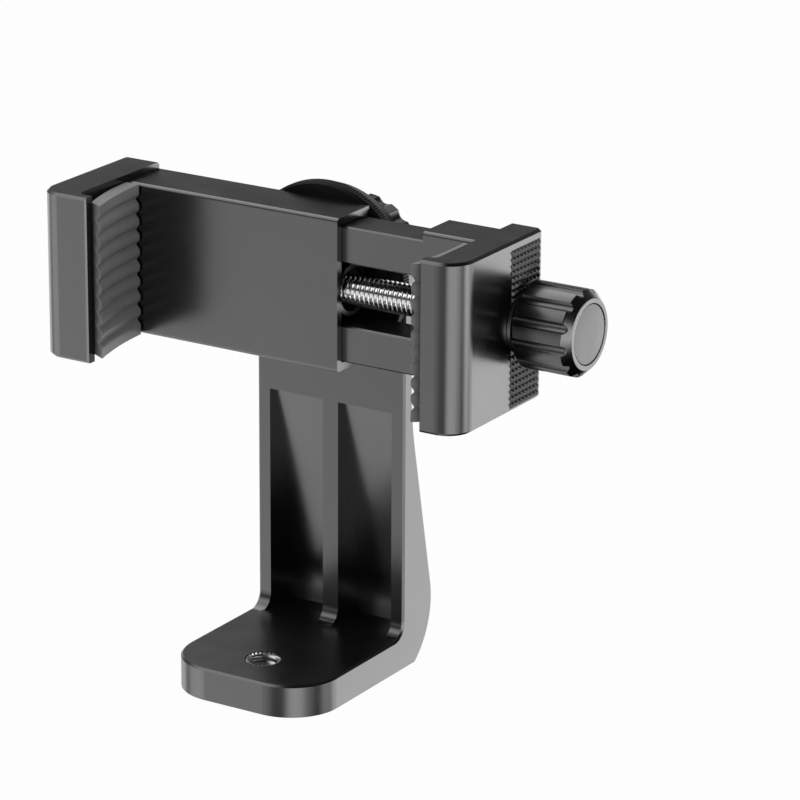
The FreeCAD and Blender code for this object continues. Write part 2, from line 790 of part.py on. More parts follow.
def make_disc_screws():
    """Three small screws that hold the disc to the sleeve, their heads below its bearing face."""
    body = new_body("disc_screws", 0, disc_screw_top, head_height)
    body.AllowCompound = True
    countersunk(body, as_size(0))
    return body


def make_friction_washer():
    body = new_body("friction_washer", 0, disc_back - friction_sunk, head_height)
    inner = bolt_radius
    outer = friction_radius
    thick = friction_sunk
    turned(body, [(inner, 0), (outer, 0), (outer, thick), (inner, thick)], "Y")
    return body


def make_pivot_bolt():
    """Hexagon bolt held by the disc, its shank through the bracket to the rear knob."""
    start = disc_front + bolt_head_in_disc - bolt_head_height
    body = new_body("pivot_bolt", 0, start, head_height)
    reach = rear_nut_start + rear_nut_height - start
    turned(body, [
        (0, 0), (bolt_radius, 0), (bolt_radius, reach - bolt_tip_chamfer),
        (bolt_radius - bolt_tip_chamfer, reach), (0, reach),
    ], "Y")
    prism(body, "Y", 0, bolt_head_height, lambda s: draw_hexagon(s, 0, 0, bolt_head_flats))
    return body


# Rear knob

def ring(label, y, thick, inner, outer):
    body = new_body(label, 0, y, head_height)
    turned(body, [(inner, 0), (outer, 0), (outer, thick), (inner, thick)], "Y")
    return body


def make_rear_knob():
    body = new_body("rear_knob", 0, rear_knob_start, head_height)
    hub = rear_hub_length
    end = hub + rear_knob_length
    inner = rear_bore
    turned(body, [
        (inner, 0), (rear_hub_radius, 0), (rear_hub_radius, hub), (rear_knob_radius - rear_knob_bevel, hub),
        (rear_knob_radius, hub + rear_knob_bevel), (rear_knob_radius, end - rear_knob_bevel),
        (rear_knob_radius - rear_knob_bevel, end), (inner, end),
    ], "Y")
    prism(body, "Y", end - rear_nut_sunk - rear_nut_height, end + overcut,
          lambda s: draw_hexagon(s, 0, 0, rear_nut_flats), cut=True)
    centre = rear_knob_radius - rear_scallop_depth + rear_scallop_radius
    scallop = prism(body, "Y", hub, end + overcut,
                    lambda s: draw_circle(s, centre, 0, rear_scallop_radius), cut=True)
    repeated(body, scallop, "Y", rear_scallop_count)
    return body


def make_rear_nut():
    body = new_body("rear_nut", 0, rear_nut_start, head_height)
    prism(body, "Y", 0, rear_nut_height, lambda s: draw_hexagon(s, 0, 0, rear_nut_flats))
    prism(body, "Y", -overcut, rear_nut_height + overcut, lambda s: draw_circle(s, 0, 0, rear_bore), cut=True)
    return body


pieces = [
    make_bracket(),
    make_tripod_insert(),
    make_clamp_body(),
    make_nut_insert(),
    make_pad("fixed_pad", fixed_pad_face, fixed_pad_lean, fixed_lip_edge, fixed_lip_thickness, 1),
    make_arm(),
    make_pad("moving_pad", moving_pad_face, moving_pad_lean, moving_jaw_inner - moving_lip,
             moving_lip_thickness, -1),
    make_clamp_screw(),
    make_retaining_clip(),
    make_knob_washer(),
    make_clamp_knob(),
    make_knob_cap(),
    make_turntable_disc(),
    make_disc_screws(),
    make_friction_washer(),
    make_pivot_bolt(),
    ring("rear_washer", rear_washer_start, rear_washer_thickness, rear_bore, rear_washer_radius),
    ring("spring_washer", spring_washer_start, spring_washer_thickness, rear_bore, spring_washer_radius),
    make_rear_knob(),
    make_rear_nut(),
]
doc.recompute()

# Check and write each sub-part

for thing in doc.Objects:
    if "Invalid" in thing.State or "Error" in thing.State:
        raise RuntimeError(f"{thing.Label} did not build: {thing.State}")
os.makedirs("parts", exist_ok=True)
for piece in pieces:
    shape = piece.Shape
    if shape.isNull() or not shape.isValid():
        raise RuntimeError(f"{piece.Label} has no valid shape")
    shape.exportStep(f"parts/{piece.Label}.step")
    box = shape.BoundBox
    print(f"{piece.Label:18s} {shape.Volume:9.1f} mm3  x {box.XMin:7.2f} {box.XMax:7.2f}"
          f"  y {box.YMin:7.2f} {box.YMax:7.2f}  z {box.ZMin:7.2f} {box.ZMax:7.2f}")
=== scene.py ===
"""Looks of the phone mount: camera, studio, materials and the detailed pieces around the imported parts."""
import json
import math

import bpy
from mathutils import Matrix, Vector


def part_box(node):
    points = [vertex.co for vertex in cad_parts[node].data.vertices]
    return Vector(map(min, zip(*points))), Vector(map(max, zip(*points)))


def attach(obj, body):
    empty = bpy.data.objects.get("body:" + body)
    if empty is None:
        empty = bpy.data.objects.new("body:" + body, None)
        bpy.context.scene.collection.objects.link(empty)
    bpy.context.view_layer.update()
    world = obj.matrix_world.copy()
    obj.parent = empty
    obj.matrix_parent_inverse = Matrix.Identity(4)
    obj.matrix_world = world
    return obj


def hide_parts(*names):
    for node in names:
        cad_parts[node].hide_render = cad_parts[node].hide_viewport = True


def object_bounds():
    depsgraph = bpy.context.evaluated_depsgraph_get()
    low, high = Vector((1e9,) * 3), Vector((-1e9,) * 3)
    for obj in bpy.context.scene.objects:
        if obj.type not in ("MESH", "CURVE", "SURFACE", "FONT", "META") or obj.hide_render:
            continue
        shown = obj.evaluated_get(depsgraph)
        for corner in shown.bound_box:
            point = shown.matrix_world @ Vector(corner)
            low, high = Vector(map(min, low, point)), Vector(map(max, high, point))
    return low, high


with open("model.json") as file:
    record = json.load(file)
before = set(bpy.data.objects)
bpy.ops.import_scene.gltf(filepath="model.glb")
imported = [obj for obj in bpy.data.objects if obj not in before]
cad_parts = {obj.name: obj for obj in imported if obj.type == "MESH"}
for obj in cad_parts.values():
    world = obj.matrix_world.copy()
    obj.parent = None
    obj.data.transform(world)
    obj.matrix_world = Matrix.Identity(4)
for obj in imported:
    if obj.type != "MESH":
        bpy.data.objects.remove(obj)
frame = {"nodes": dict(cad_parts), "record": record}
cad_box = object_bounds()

MM = 0.001
TAU = 2 * math.pi
scene = bpy.context.scene


# Camera, fitted to the photograph's straight edges

CAMERA_PLACE = Vector((419.8, -627.4, 310.9)) * MM
CAMERA_FORWARD = Vector((-0.5005, 0.8051, -0.3183)).normalized()
CAMERA_ROLL = math.radians(0.3)
FOCAL_PIXELS = 4327.5
PHOTO_PIXELS = 800
SENSOR = 36.0


def make_camera():
    """The photograph's camera: its lens, its place and the way it points."""
    data = bpy.data.cameras.new("camera")
    data.sensor_fit = "HORIZONTAL"
    data.sensor_width = SENSOR
    data.lens = FOCAL_PIXELS * SENSOR / PHOTO_PIXELS
    data.clip_start = 0.01
    data.clip_end = 20
    camera = bpy.data.objects.new("camera", data)
    scene.collection.objects.link(camera)
    flat_right = CAMERA_FORWARD.cross(Vector((0, 0, 1))).normalized()
    flat_up = flat_right.cross(CAMERA_FORWARD)
    right = flat_right * math.cos(CAMERA_ROLL) + flat_up * math.sin(CAMERA_ROLL)
    up = flat_up * math.cos(CAMERA_ROLL) - flat_right * math.sin(CAMERA_ROLL)
    turn = Matrix((right, up, -CAMERA_FORWARD)).transposed().to_4x4()
    camera.matrix_world = Matrix.Translation(CAMERA_PLACE) @ turn
    scene.camera = camera


# Studio

FLOOR_GREY = 0.35
FLOOR_HALF_WIDTH = 4
FLOOR_GAP = 0.00002
MOUNT_MIDDLE = Vector((0.005, 0.01, 0.06))
NARROW = 26
WIDE = 34

# What the glossy plastic mirrors, as in the photograph: soft boxes far away, each given by azimuth, height over
# the horizon and half width in degrees, and its radiance in the middle. Azimuth 0 is +X, 90 is +Y.
SOFT_BOXES = [
    # At the horizon, right, front and behind
    (20, 0, NARROW, 7.4), (-20, 0, NARROW, 4.3),
    (-95, 0, NARROW, 1.0), (-122, 0, NARROW, 0.3), (125, 0, NARROW, 0.2),
    # High
    (100, 48, WIDE, 0.8), (150, 48, WIDE, 2.4), (-140, 48, WIDE, 2.2),
    # Below the horizon, where the upright faces mirror
    (58, -20, NARROW, 2.9), (-49, -20, NARROW, 3.2), (-72, -20, NARROW, 0.3),
    (-122, -20, NARROW, 0.95), (-150, -20, NARROW, 2.1),
    # Low, the first of them for the pockets' slopes
    (-124, -42, NARROW, 1.1), (180, -55, WIDE, 1.5),
    # Behind the mount, for its back and sides
    (90, -20, NARROW, 1.4), (125, -20, NARROW, 1.4), (95, 0, NARROW, 1.2), (165, -8, NARROW, 2.0),
]


def two_in(tree, operation, first, second):
    """A maths node on two sockets."""
    node = tree.nodes.new("ShaderNodeMath")
    node.operation = operation
    tree.links.new(first, node.inputs[0])
    tree.links.new(second, node.inputs[1])
    return node.outputs[0]


def light_path_sum(tree):
    """1 for rays from the camera, a mirror or glass, 0 for the light that falls on things."""
    path = tree.nodes.new("ShaderNodeLightPath")
    total = path.outputs["Is Camera Ray"]
    for ray in ("Is Glossy Ray", "Is Transmission Ray"):
        total = two_in(tree, "MAXIMUM", total, path.outputs[ray])
    return total


def soft_box_light(tree):
    """The summed light of the soft boxes from the direction that a ray leaves in."""
    place = tree.nodes.new("ShaderNodeTexCoord")
    total = None
    for azimuth, rise, half_width, radiance in SOFT_BOXES:
        turn = math.radians(azimuth)
        tilt = math.radians(rise)
        near = tree.nodes.new("ShaderNodeVectorMath")
        near.operation = "DOT_PRODUCT"
        near.inputs[1].default_value = (
            math.cos(turn) * math.cos(tilt), math.sin(turn) * math.cos(tilt), math.sin(tilt))
        tree.links.new(place.outputs["Generated"], near.inputs[0])
        box = tree.nodes.new("ShaderNodeMapRange")
        box.interpolation_type = "SMOOTHSTEP"
        box.inputs["From Min"].default_value = math.cos(math.radians(half_width))
        box.inputs["From Max"].default_value = 1.0
        box.inputs["To Min"].default_value = 0.0
        box.inputs["To Max"].default_value = radiance
        tree.links.new(near.outputs["Value"], box.inputs["Value"])
        total = two_in(tree, "ADD", total, box.outputs[0]) if total else box.outputs[0]
    return total


def mixed(tree, share, first, second):
    """A mix of two shaders, where share is how much the second counts."""
    mix = tree.nodes.new("ShaderNodeMixShader")
    tree.links.new(share, mix.inputs[0])
    tree.links.new(first.outputs[0], mix.inputs[1])
    tree.links.new(second.outputs[0], mix.inputs[2])
    return mix


def make_world(ambient):
    """White behind the mount for the camera, soft boxes in reflections, an even fill for everything else."""
    world = bpy.data.worlds.new("studio")
    scene.world = world
    world.use_nodes = True
    tree = world.node_tree
    tree.nodes.clear()
    seen = tree.nodes.new("ShaderNodeBackground")
    seen.inputs["Color"].default_value = (1, 1, 1, 1)
    mirrored = tree.nodes.new("ShaderNodeBackground")
    mirrored.inputs["Color"].default_value = (1, 1, 1, 1)
    tree.links.new(soft_box_light(tree), mirrored.inputs["Strength"])
    path = tree.nodes.new("ShaderNodeLightPath")
    pick = mixed(tree, path.outputs["Is Glossy Ray"], seen, mirrored)
    fill = tree.nodes.new("ShaderNodeBackground")
    fill.inputs["Color"].default_value = (ambient, ambient, ambient, 1)
    mix = mixed(tree, light_path_sum(tree), fill, pick)
    out = tree.nodes.new("ShaderNodeOutputWorld")
    tree.links.new(mix.outputs[0], out.inputs["Surface"])


def make_floor(seen):
    """A pale floor with the mount's shadow. seen is how much of it is plain white to the camera."""
    material = bpy.data.materials.new("floor")
    material.use_nodes = True
    tree = material.node_tree
    tree.nodes.clear()
    paint = tree.nodes.new("ShaderNodeBsdfDiffuse")
    paint.inputs["Color"].default_value = (FLOOR_GREY, FLOOR_GREY, FLOOR_GREY, 1)
    plain = tree.nodes.new("ShaderNodeEmission")
    plain.inputs["Color"].default_value = (1, 1, 1, 1)
    plain.inputs["Strength"].default_value = 1
    path = tree.nodes.new("ShaderNodeLightPath")
    share = tree.nodes.new("ShaderNodeMath")
    share.operation = "MULTIPLY"
    share.inputs[1].default_value = seen
    tree.links.new(path.outputs["Is Camera Ray"], share.inputs[0])
    mix = mixed(tree, share.outputs[0], paint, plain)
    out = tree.nodes.new("ShaderNodeOutputMaterial")
    tree.links.new(mix.outputs[0], out.inputs["Surface"])
    mesh = bpy.data.meshes.new("floor")
    half = FLOOR_HALF_WIDTH
    low = cad_box[0][2] - FLOOR_GAP
    corners = [(-half, -half, low), (half, -half, low), (half, half, low), (-half, half, low)]
    mesh.from_pydata(corners, [], [(0, 1, 2, 3)])
    mesh.materials.append(material)
    floor = bpy.data.objects.new("floor", mesh)
    floor.visible_glossy = False
    scene.collection.objects.link(floor)


def make_lamp(name, towards, distance, width, height, radiance):
    """A soft panel that faces the middle of the mount from the given direction and isn't mirrored in it."""
    data = bpy.data.lights.new(name, "AREA")
    data.shape = "RECTANGLE"
    data.size = width
    data.size_y = height
    data.energy = radiance * math.pi * width * height
    lamp = bpy.data.objects.new(name, data)
    lamp.visible_glossy = False
    scene.collection.objects.link(lamp)
    direction = Vector(towards).normalized()
    turn = direction.to_track_quat("Z", "Y").to_matrix().to_4x4()
    lamp.matrix_world = Matrix.Translation(MOUNT_MIDDLE + direction * distance) @ turn


# Materials

def noise_node(tree, scale, detail, rough=0.5):
    """A noise texture in the object's own metres."""
    place = tree.nodes.new("ShaderNodeTexCoord")
    node = tree.nodes.new("ShaderNodeTexNoise")
    node.inputs["Scale"].default_value = scale
    node.inputs["Detail"].default_value = detail
    node.inputs["Roughness"].default_value = rough
    tree.links.new(place.outputs["Object"], node.inputs["Vector"])
    return node.outputs["Fac"]


def ranged(tree, source, low, high):
    """The noise, whose values lie mostly between 0.3 and 0.7, spread from low to high."""
    node = tree.nodes.new("ShaderNodeMapRange")
    node.inputs["From Min"].default_value = 0.3
    node.inputs["From Max"].default_value = 0.7
    node.inputs["To Min"].default_value = low
    node.inputs["To Max"].default_value = high
    tree.links.new(source, node.inputs["Value"])
    return node.outputs[0]


def two_tones(tree, source, dark, light):
    """A colour that drifts from dark to light with the noise."""
    ramp = tree.nodes.new("ShaderNodeValToRGB")
    ramp.color_ramp.elements[0].position = 0.35
    ramp.color_ramp.elements[0].color = (*dark, 1)
    ramp.color_ramp.elements[1].position = 0.65
    ramp.color_ramp.elements[1].color = (*light, 1)
    tree.links.new(source, ramp.inputs["Fac"])
    return ramp.outputs["Color"]


def bumped(tree, shader, heights):
    """Chain bumps of (source, distance in metres) into the shader's normal."""
    last = None
    for source, distance in heights:
        bump = tree.nodes.new("ShaderNodeBump")
        bump.inputs["Strength"].default_value = 1.0
        bump.inputs["Distance"].default_value = distance
        tree.links.new(source, bump.inputs["Height"])
        if last:
            tree.links.new(last, bump.inputs["Normal"])
        last = bump.outputs["Normal"]
    tree.links.new(last, shader.inputs["Normal"])


def new_material(name, metallic, specular):
    """A material with its node tree and its Principled shader."""
    material = bpy.data.materials.new(name)
    material.use_nodes = True
    tree = material.node_tree
    shader = tree.nodes["Principled BSDF"]
    shader.inputs["Metallic"].default_value = metallic
    shader.inputs["Specular IOR Level"].default_value = specular
    return material, tree, shader


DRIFT_SCALE = 55
GLOSS_SCALE = 140
WAVINESS = 0.00002


def surface(name, dark, light, rough, grain, grain_depth, metallic=0.0, specular=0.5):
    """A moulded or plated surface: fine grain, slow waviness, and tone and gloss that drift a little."""
    material, tree, shader = new_material(name, metallic, specular)
    slow = noise_node(tree, DRIFT_SCALE, 2)
    fine = noise_node(tree, grain, 2, 0.6)
    tree.links.new(two_tones(tree, slow, dark, light), shader.inputs["Base Color"])
    tree.links.new(ranged(tree, noise_node(tree, GLOSS_SCALE, 4), *rough), shader.inputs["Roughness"])
    bumped(tree, shader, [(slow, WAVINESS), (fine, grain_depth)])
    return material


BLACK = ((0.0035, 0.0035, 0.0037), (0.005, 0.005, 0.0052))
GLOSSY = (0.22, 0.27)
MICRON = 0.000001

plastic = surface("black_plastic", *BLACK, GLOSSY, 3600, 7 * MICRON, specular=1.0)
knob_plastic = surface("knob_plastic", *BLACK, GLOSSY, 3000, 5 * MICRON, specular=1.0)
grip_plastic = surface("grip_plastic", *BLACK, GLOSSY, 3000, 5 * MICRON, specular=0.45)
# Matte black plastic of the disc. It also paints the shade in the gaps of the grip's studs.
matte_disc_and_shade_sheet = surface(
    "matte_disc_and_shade_sheet", (0.003, 0.003, 0.003), (0.005, 0.005, 0.005), (0.30, 0.36), 3200, 6 * MICRON, specular=0.10)
cap_plastic = surface(
    "cap_plastic", (0.050, 0.050, 0.051), (0.064, 0.064, 0.065), (0.34, 0.42), 5200, 20 * MICRON, specular=0.8)
rubber = surface(
    "pad_rubber", (0.185, 0.186, 0.188), (0.215, 0.216, 0.218), (0.45, 0.55), 2600, 10 * MICRON, specular=0.4)
chrome = surface(
    "bright_steel", (0.78, 0.78, 0.79), (0.86, 0.86, 0.87), (0.06, 0.11), 1800, 3 * MICRON, metallic=1.0)
nickel = surface(
    "nickel", (0.34, 0.34, 0.335), (0.44, 0.44, 0.43), (0.26, 0.38), 2200, 6 * MICRON, metallic=1.0)
zinc = surface(
    "plain_steel", (0.34, 0.345, 0.35), (0.43, 0.435, 0.44), (0.28, 0.42), 1500, 10 * MICRON, metallic=1.0)
nylon = surface("nylon", (0.62, 0.61, 0.58), (0.70, 0.69, 0.66), (0.40, 0.50), 1500, 8 * MICRON)

FINISHES = {
    "black_plastic": plastic, "pad_rubber": rubber, "bright_steel": chrome, "nickel": nickel,
    "plain_steel": zinc, "cap_plastic": cap_plastic, "nylon": nylon,
}


# Mesh helpers

AXES = {
    "X": ((0, 1, 0), (0, 0, 1), (1, 0, 0)),
    "Y": ((0, 0, 1), (1, 0, 0), (0, 1, 0)),
    "Z": ((1, 0, 0), (0, 1, 0), (0, 0, 1)),
}


def eased(points, cuts=4):
    """A path of (along, radius, rounding) with each rounded corner turned into a small arc."""
    path = []
    count = len(points)
    for number, (x, y, rounding) in enumerate(points):
        if rounding == 0 or number in (0, count - 1):
            path.append((x, y))
            continue
        corner = Vector((x, y))
        back = (Vector(points[number - 1][:2]) - corner).normalized()
        ahead = (Vector(points[number + 1][:2]) - corner).normalized()
        half = back.angle(ahead) / 2
        centre = corner + (back + ahead).normalized() * rounding / math.sin(half)
        start = corner + back * rounding / math.tan(half) - centre
        end = corner + ahead * rounding / math.tan(half) - centre
        first = math.atan2(start.y, start.x)
        swing = (math.atan2(end.y, end.x) - first + math.pi) % TAU - math.pi
        for step in range(cuts + 1):
            angle = first + swing * step / cuts
            path.append((centre.x + rounding * math.cos(angle), centre.y + rounding * math.sin(angle)))
    return path


def lathe(rows, steps, axis, centre, closed=False, shape=None, turn=0.0):
    """Points and faces of a form turned about an axis, in millimetres.

    shape(angle, along, radius) may move a point. A closed form is a ring whose last row joins the first.
    """
    across, up, along_axis = (Vector(part) for part in AXES[axis])
    centre = Vector(centre)
    points = []
    rings = []
    for along, radius in rows:
        if radius == 0:
            rings.append([len(points)])
            points.append(centre + along_axis * along)
            continue
        ring = []
        for step in range(steps):
            angle = TAU * step / steps
            place, reach = shape(angle, along, radius) if shape else (along, radius)
            spoke = across * math.cos(angle + turn) + up * math.sin(angle + turn)
            ring.append(len(points))
            points.append(centre + along_axis * place + spoke * reach)
        rings.append(ring)
    pairs = list(zip(rings, rings[1:]))
    if closed:
        pairs.append((rings[-1], rings[0]))
    faces = []
    for low, high in pairs:
        for step in range(steps):
            after = (step + 1) % steps
            if len(low) == 1:
                faces.append((low[0], high[after], high[step]))
            elif len(high) == 1:
                faces.append((low[step], low[after], high[0]))
            else:
                faces.append((low[step], low[after], high[after], high[step]))
    return points, faces


def piece(name, body, material, form, stands_for=(), *, smooth):
    """A mesh from points in millimetres that rides on a body and stands for the named nodes.

    Edges sharper than smooth, in degrees, stay sharp.
    """
    points, faces = form
    mesh = bpy.data.meshes.new(name)
    mesh.from_pydata([tuple(Vector(p) * MM) for p in points], [], faces)
    mesh.validate()
    mesh.materials.append(material)
    mesh.shade_smooth()
    mesh.set_sharp_from_angle(angle=math.radians(smooth))
    made = bpy.data.objects.new(name, mesh)
    scene.collection.objects.link(made)
    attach(made, body)
    if stands_for:
        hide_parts(*stands_for)


def joined(*forms):
    """Several forms as one."""
    points = []
    faces = []
    for more_points, more_faces in forms:
        shift = len(points)
        points.extend(more_points)
        faces.extend(tuple(n + shift for n in face) for face in more_faces)
    return points, faces


def hexagon(flats, low, high, axis, centre, bore=0.0, turn=0.0):
    """A hexagon nut or bolt head with chamfered corners, built as a turned form cut down to its flats."""
    steps = 96
    corner = flats / math.sqrt(3)
    chamfer = 0.6
    rise = chamfer * 0.58
    bore_edge = 0.25

    def flat_sides(angle, along, radius):
        reach = flats / 2 / math.cos((angle % (TAU / 6)) - TAU / 12)
        return along, min(radius, reach)

    profile = [(low, corner - chamfer), (low + rise, corner), (high - rise, corner), (high, corner - chamfer)]
    if bore:
        profile += [(high, bore + bore_edge), (high - bore_edge, bore)]
        profile += [(low + bore_edge, bore), (low, bore + bore_edge)]
        return lathe(profile, steps, axis, centre, closed=True, shape=flat_sides, turn=turn)
    profile = [(low, 0)] + profile + [(high, 0)]
    return lathe(profile, steps, axis, centre, shape=flat_sides, turn=turn)


def thread_rows(start, end, pitch, per_turn=14):
    """Even stations from start to end, with per_turn of them to a turn of the thread."""
    count = int(round((end - start) / pitch * per_turn))
    return [start + (end - start) * n / count for n in range(count + 1)]


def thread_shape(pitch, depth, start, end, run_out):
    """A right-hand V thread cut into the radius, dying out over run_out at both ends."""
    root_flat = 0.08
    flank = 0.80

    def cut(angle, along, radius):
        phase = (along / pitch - angle / TAU) % 1.0
        wave = abs(2 * phase - 1)
        wave = min(max((wave - root_flat) / flank, 0), 1)
        fade = min(1, max(0, (along - start) / run_out), max(0, (end - along) / run_out))
        return along, radius - depth * (1 - wave) * fade
    return cut


def low_high(node):
    """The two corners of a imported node's box, in millimetres."""
    low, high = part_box(node)
    return Vector(low) / MM, Vector(high) / MM


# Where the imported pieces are, in millimetres

head_z = (low_high("turntable_disc")[0].z + low_high("turntable_disc")[1].z) / 2
screw_low, screw_high = low_high("clamp_screw")
knob_low, knob_high = low_high("clamp_knob")
screw_y = (low_high("knob_washer")[0].y + low_high("knob_washer")[1].y) / 2
jaw_high = low_high("arm")[1]


def make_clamp_screw():
    """M6 screw with 1 mm pitch, threaded up to the clip, plain inside the arm, hexagon head in the knob."""
    start = screw_low.x
    end = screw_high.x
    clip = low_high("retaining_clip")[0].x
    radius = 2.95
    pitch = 1.0
    depth = 0.6
    run_out = 0.9
    point = 0.35
    clip_groove = 0.5
    clip_width = 0.8
    head_length = 4.0
    head_flats = 9.0
    thread_end = clip - 0.6
    centre = (0, screw_y, head_z)
    cut = thread_shape(pitch, depth, start + 0.4, thread_end, run_out)
    rows = [(start, 0), (start, radius - 0.75), (start + point, radius - point)]
    rows += [(along, radius) for along in thread_rows(start + 0.7, thread_end, pitch)]
    rows += [(clip, radius), (clip, radius - clip_groove)]
    rows += [(clip + clip_width, radius - clip_groove), (clip + clip_width, radius)]
    rows += [(end - head_length, radius), (end - head_length, 0)]

    def threaded(angle, along, reach):
        if start + 0.6 < along < thread_end + 0.1:
            return cut(angle, along, reach)
        return along, reach

    shank = lathe(rows, 48, "X", centre, shape=threaded)
    head = hexagon(head_flats, end - head_length, end, "X", centre, turn=math.radians(10))
    form = joined(shank, head)
    piece("threaded_screw", "clamp_knob", chrome, form, ["clamp_screw"], smooth=42)


def soft_low(first, second, blend):
    """The lower of two numbers, with the corner between them eased over blend."""
    close = max(blend - abs(first - second), 0) / blend
    return min(first, second) - close * close * blend / 4


def fluted(count, radius, tool, depth):
    """Round-bottomed grooves along a drum, as a ball of radius tool would cut them to a depth."""
    edge_blend = 0.16

    def cut(angle, along, reach):
        pitch = TAU / count
        swing = (angle + pitch / 2) % pitch - pitch / 2
        off = abs(swing) * radius
        if off >= tool:
            return along, reach
        floor = radius - depth + tool - math.sqrt(tool ** 2 - off ** 2)
        return along, soft_low(reach, floor, edge_blend)
    return cut


def make_knob():
    """Clamp knob: a drum with twelve round grooves that run out through its bevelled rim, and a cap recess."""
    low = knob_low.x
    length = knob_high.x - low
    radius = 8.1
    inner = 3.0
    recess = 5.65
    cap_floor = length - 1.3
    rim_bevel = 1.5
    back_bevel = 1.2
    fluted_from = 6.4
    centre = (low, screw_y, head_z)
    outline = eased([
        (0, inner, 0), (0, radius - back_bevel, 0.3), (back_bevel, radius, 0.5),
        (length - rim_bevel, radius, 0.35), (length, radius - rim_bevel, 0.35), (length, recess, 0.1),
        (cap_floor, recess, 0), (cap_floor, inner, 0),
    ], cuts=5)
    # The bevels get more rows, so that the grooves run out through them cleanly.
    rows = []
    for here, ahead in zip(outline, outline[1:]):
        rows.append(here)
        sloping = abs(here[1] - ahead[1]) > 0.05 and abs(here[0] - ahead[0]) > 0.05
        cuts = 16 if sloping and here[1] > fluted_from else 1
        rows += [(here[0] + (ahead[0] - here[0]) * n / cuts, here[1] + (ahead[1] - here[1]) * n / cuts)
                 for n in range(1, cuts)]
    rows.append(outline[-1])
    groove = fluted(12, radius, 1.0, 0.72)

    def shape(angle, along, reach):
        return groove(angle, along, reach) if reach > fluted_from else (along, reach)

    form = lathe(rows, 864, "X", centre, closed=True, shape=shape, turn=math.radians(100))
    piece("fluted_knob", "clamp_knob", knob_plastic, form, ["clamp_knob"], smooth=50)


def make_cap():
    """Plain knob cap, a hair narrower than its recess."""
    low, high = low_high("knob_cap")
    centre = (low.x, screw_y, head_z)
    thick = high.x - low.x
    radius = 5.56
    rows = eased([(0, 0, 0), (0, radius, 0.1), (thick, radius, 0.14), (thick, 2.5, 0), (thick, 0, 0)])
    form = lathe(rows, 144, "X", centre)
    piece("cap", "clamp_knob", cap_plastic, form, ["knob_cap"], smooth=35)


def make_disc():
    """Turntable disc with a bevelled front, a finely ridged rim and a recess behind for the washer."""
    low, high = low_high("turntable_disc")
    radius = (high.x - low.x) / 2
    thick = high.y - low.y
    centre = (0, low.y, head_z)
    bore = 2.45
    recess = 12.0
    recess_floor = thick - 0.4
    ridges = 200
    ridge_depth = 0.13
    outline = eased([
        (0, bore, 0), (0, radius - 0.5, 0.12), (0.5, radius - 0.06, 0.12), (0.62, radius, 0.0),
        (thick - 0.25, radius, 0.0), (thick, radius - 0.25, 0.1), (thick, recess, 0.05),
        (recess_floor, recess, 0), (recess_floor, bore, 0),
    ], cuts=3)

    def ridged(angle, along, reach):
        if reach < radius - 0.05:
            return along, reach
        return along, reach - ridge_depth * (0.5 - 0.5 * math.cos(angle * ridges)) ** 0.8

    form = lathe(outline, 1600, "Y", centre, closed=True, shape=ridged)
    piece("ridged_disc", "head", matte_disc_and_shade_sheet, form, ["turntable_disc"], smooth=30)


def make_rear_knob():
    """Rear knob with sixteen scallops, a hub towards the bracket and a hexagon pocket for its nut."""
    low, high = low_high("rear_knob")
    centre = (0, low.y, head_z)
    hub = 1.4
    hub_radius = 7.0
    end = high.y - low.y
    radius = 12.1
    bore = 2.5
    pocket = 4.75
    pocket_floor = end - 4.6
    nut_half_flats = 4.0
    nut_gap = 0.03
    face_step = 0.5
    scallops = 16
    scallop_half_width = 1.45
    scallop_depth = 0.7
    scalloped_from = 8.5
    scallop_floor = 8.4
    outline = eased([
        (0, bore, 0), (0, hub_radius, 0.3), (hub, hub_radius, 0.2), (hub, radius, 0.8), (end, radius, 1.0),
        (end, 7.6, 0.3), (end - face_step, 7.2, 0.3), (end - face_step, pocket, 0), (pocket_floor, pocket, 0),
        (pocket_floor, bore, 0),
    ], cuts=5)

    def scalloped(angle, along, reach):
        if reach < scalloped_from:
            if pocket - 0.05 < reach < pocket + 0.05:
                return along, nut_half_flats / math.cos((angle % (TAU / 6)) - TAU / 12) + nut_gap
            return along, reach
        pitch = TAU / scallops
        swing = (angle + pitch / 2) % pitch - pitch / 2
        off = abs(swing) * radius
        if off >= scallop_half_width:
            return along, reach
        deep = scallop_depth * math.cos(off / scallop_half_width * math.pi / 2) ** 0.9
        return along, min(reach, max(reach - deep, scallop_floor))

    form = lathe(outline, 576, "Y", centre, closed=True, shape=scalloped, turn=math.radians(77 + 11.25))
    piece("scalloped_knob", "rear_knob", knob_plastic, form, ["rear_knob"], smooth=38)


def make_bolt_and_nut():
    """Pivot bolt with an M5 thread at its end, and the nut in the rear knob."""
    low, high = low_high("pivot_bolt")
    nut_low, nut_high = low_high("rear_nut")
    centre = (0, 0, head_z)
    pitch = 0.8
    depth = 0.42
    radius = 2.45
    end_chamfer = 0.45
    head_height = 1.9
    head_flats = 8.0
    nut_flats = 7.96
    nut_bore = 2.5
    thread_start = nut_low.y - 3.0
    cut = thread_shape(pitch, depth, thread_start, high.y + 0.4, 0.7)
    rows = [(low.y + head_height, 0), (low.y + head_height, radius)]
    rows += [(along, radius) for along in thread_rows(thread_start, high.y - end_chamfer, pitch)]
    rows += [(high.y, radius - 0.5), (high.y, 0)]

    def threaded(angle, along, reach):
        return cut(angle, along, reach) if reach > radius - 0.05 and along >= thread_start else (along, reach)

    shank = lathe(rows, 48, "Y", centre, shape=threaded)
    head = hexagon(head_flats, low.y, low.y + head_height, "Y", centre, turn=math.pi / 6)
    piece("bolt", "head", zinc, joined(shank, head), ["pivot_bolt"], smooth=42)
    nut = hexagon(nut_flats, nut_low.y, nut_high.y, "Y", centre, bore=nut_bore)
    piece("nut", "rear_knob", zinc, nut, ["rear_nut"], smooth=35)


